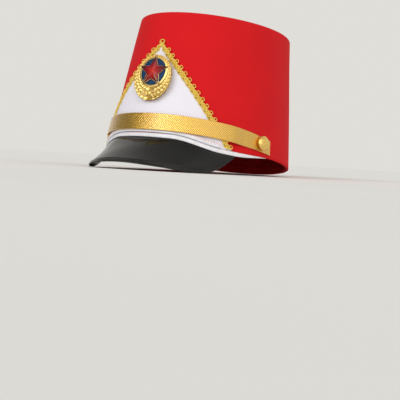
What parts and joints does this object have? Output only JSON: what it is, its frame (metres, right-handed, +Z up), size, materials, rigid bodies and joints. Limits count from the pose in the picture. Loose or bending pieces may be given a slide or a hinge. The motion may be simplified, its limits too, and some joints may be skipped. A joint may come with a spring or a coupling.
{
  "type": "marching band hat",
  "caption": "Stiff tapered oval band hat in red cloth with a white front panel edged in gold braid, a star badge, a gold strap with buttons and a glossy black visor.",
  "frame": {"origin": "bottom centre of the bounding box, on the surface that the hat rests on", "axes": "+Z up, the front faces -Y, +X towards the wearer's left"},
  "size_m": [0.178, 0.252, 0.1519],
  "materials": {
    "red_cloth": "matte woven cloth",
    "hem_cloth": "matte woven cloth",
    "white_cloth": "matte cloth",
    "white_piping": "smooth satin cord cover",
    "gold_braid": "metallic thread",
    "gold_strap": "woven metallic ribbon",
    "gold_metal": "polished cast",
    "black_patent": "high gloss patent",
    "blue_enamel": "gloss enamel",
    "red_enamel": "gloss enamel",
    "plain_steel": "plain"
  },
  "bodies": {
    "root": {"badge_enamel": "blue_enamel", "badge_post": "plain_steel", "badge_star": "red_enamel", "badge_wreath": "gold_metal", "button_left": "gold_metal", "button_right": "gold_metal", "crown_top": "red_cloth", "crown_wall": "red_cloth", "front_panel": "white_cloth", "front_strap": "gold_strap", "inner_hem": "hem_cloth", "panel_braid": "gold_braid", "panel_piping": "white_piping", "visor": "black_patent", "visor_piping": "white_piping"}
  },
  "joints": []
}
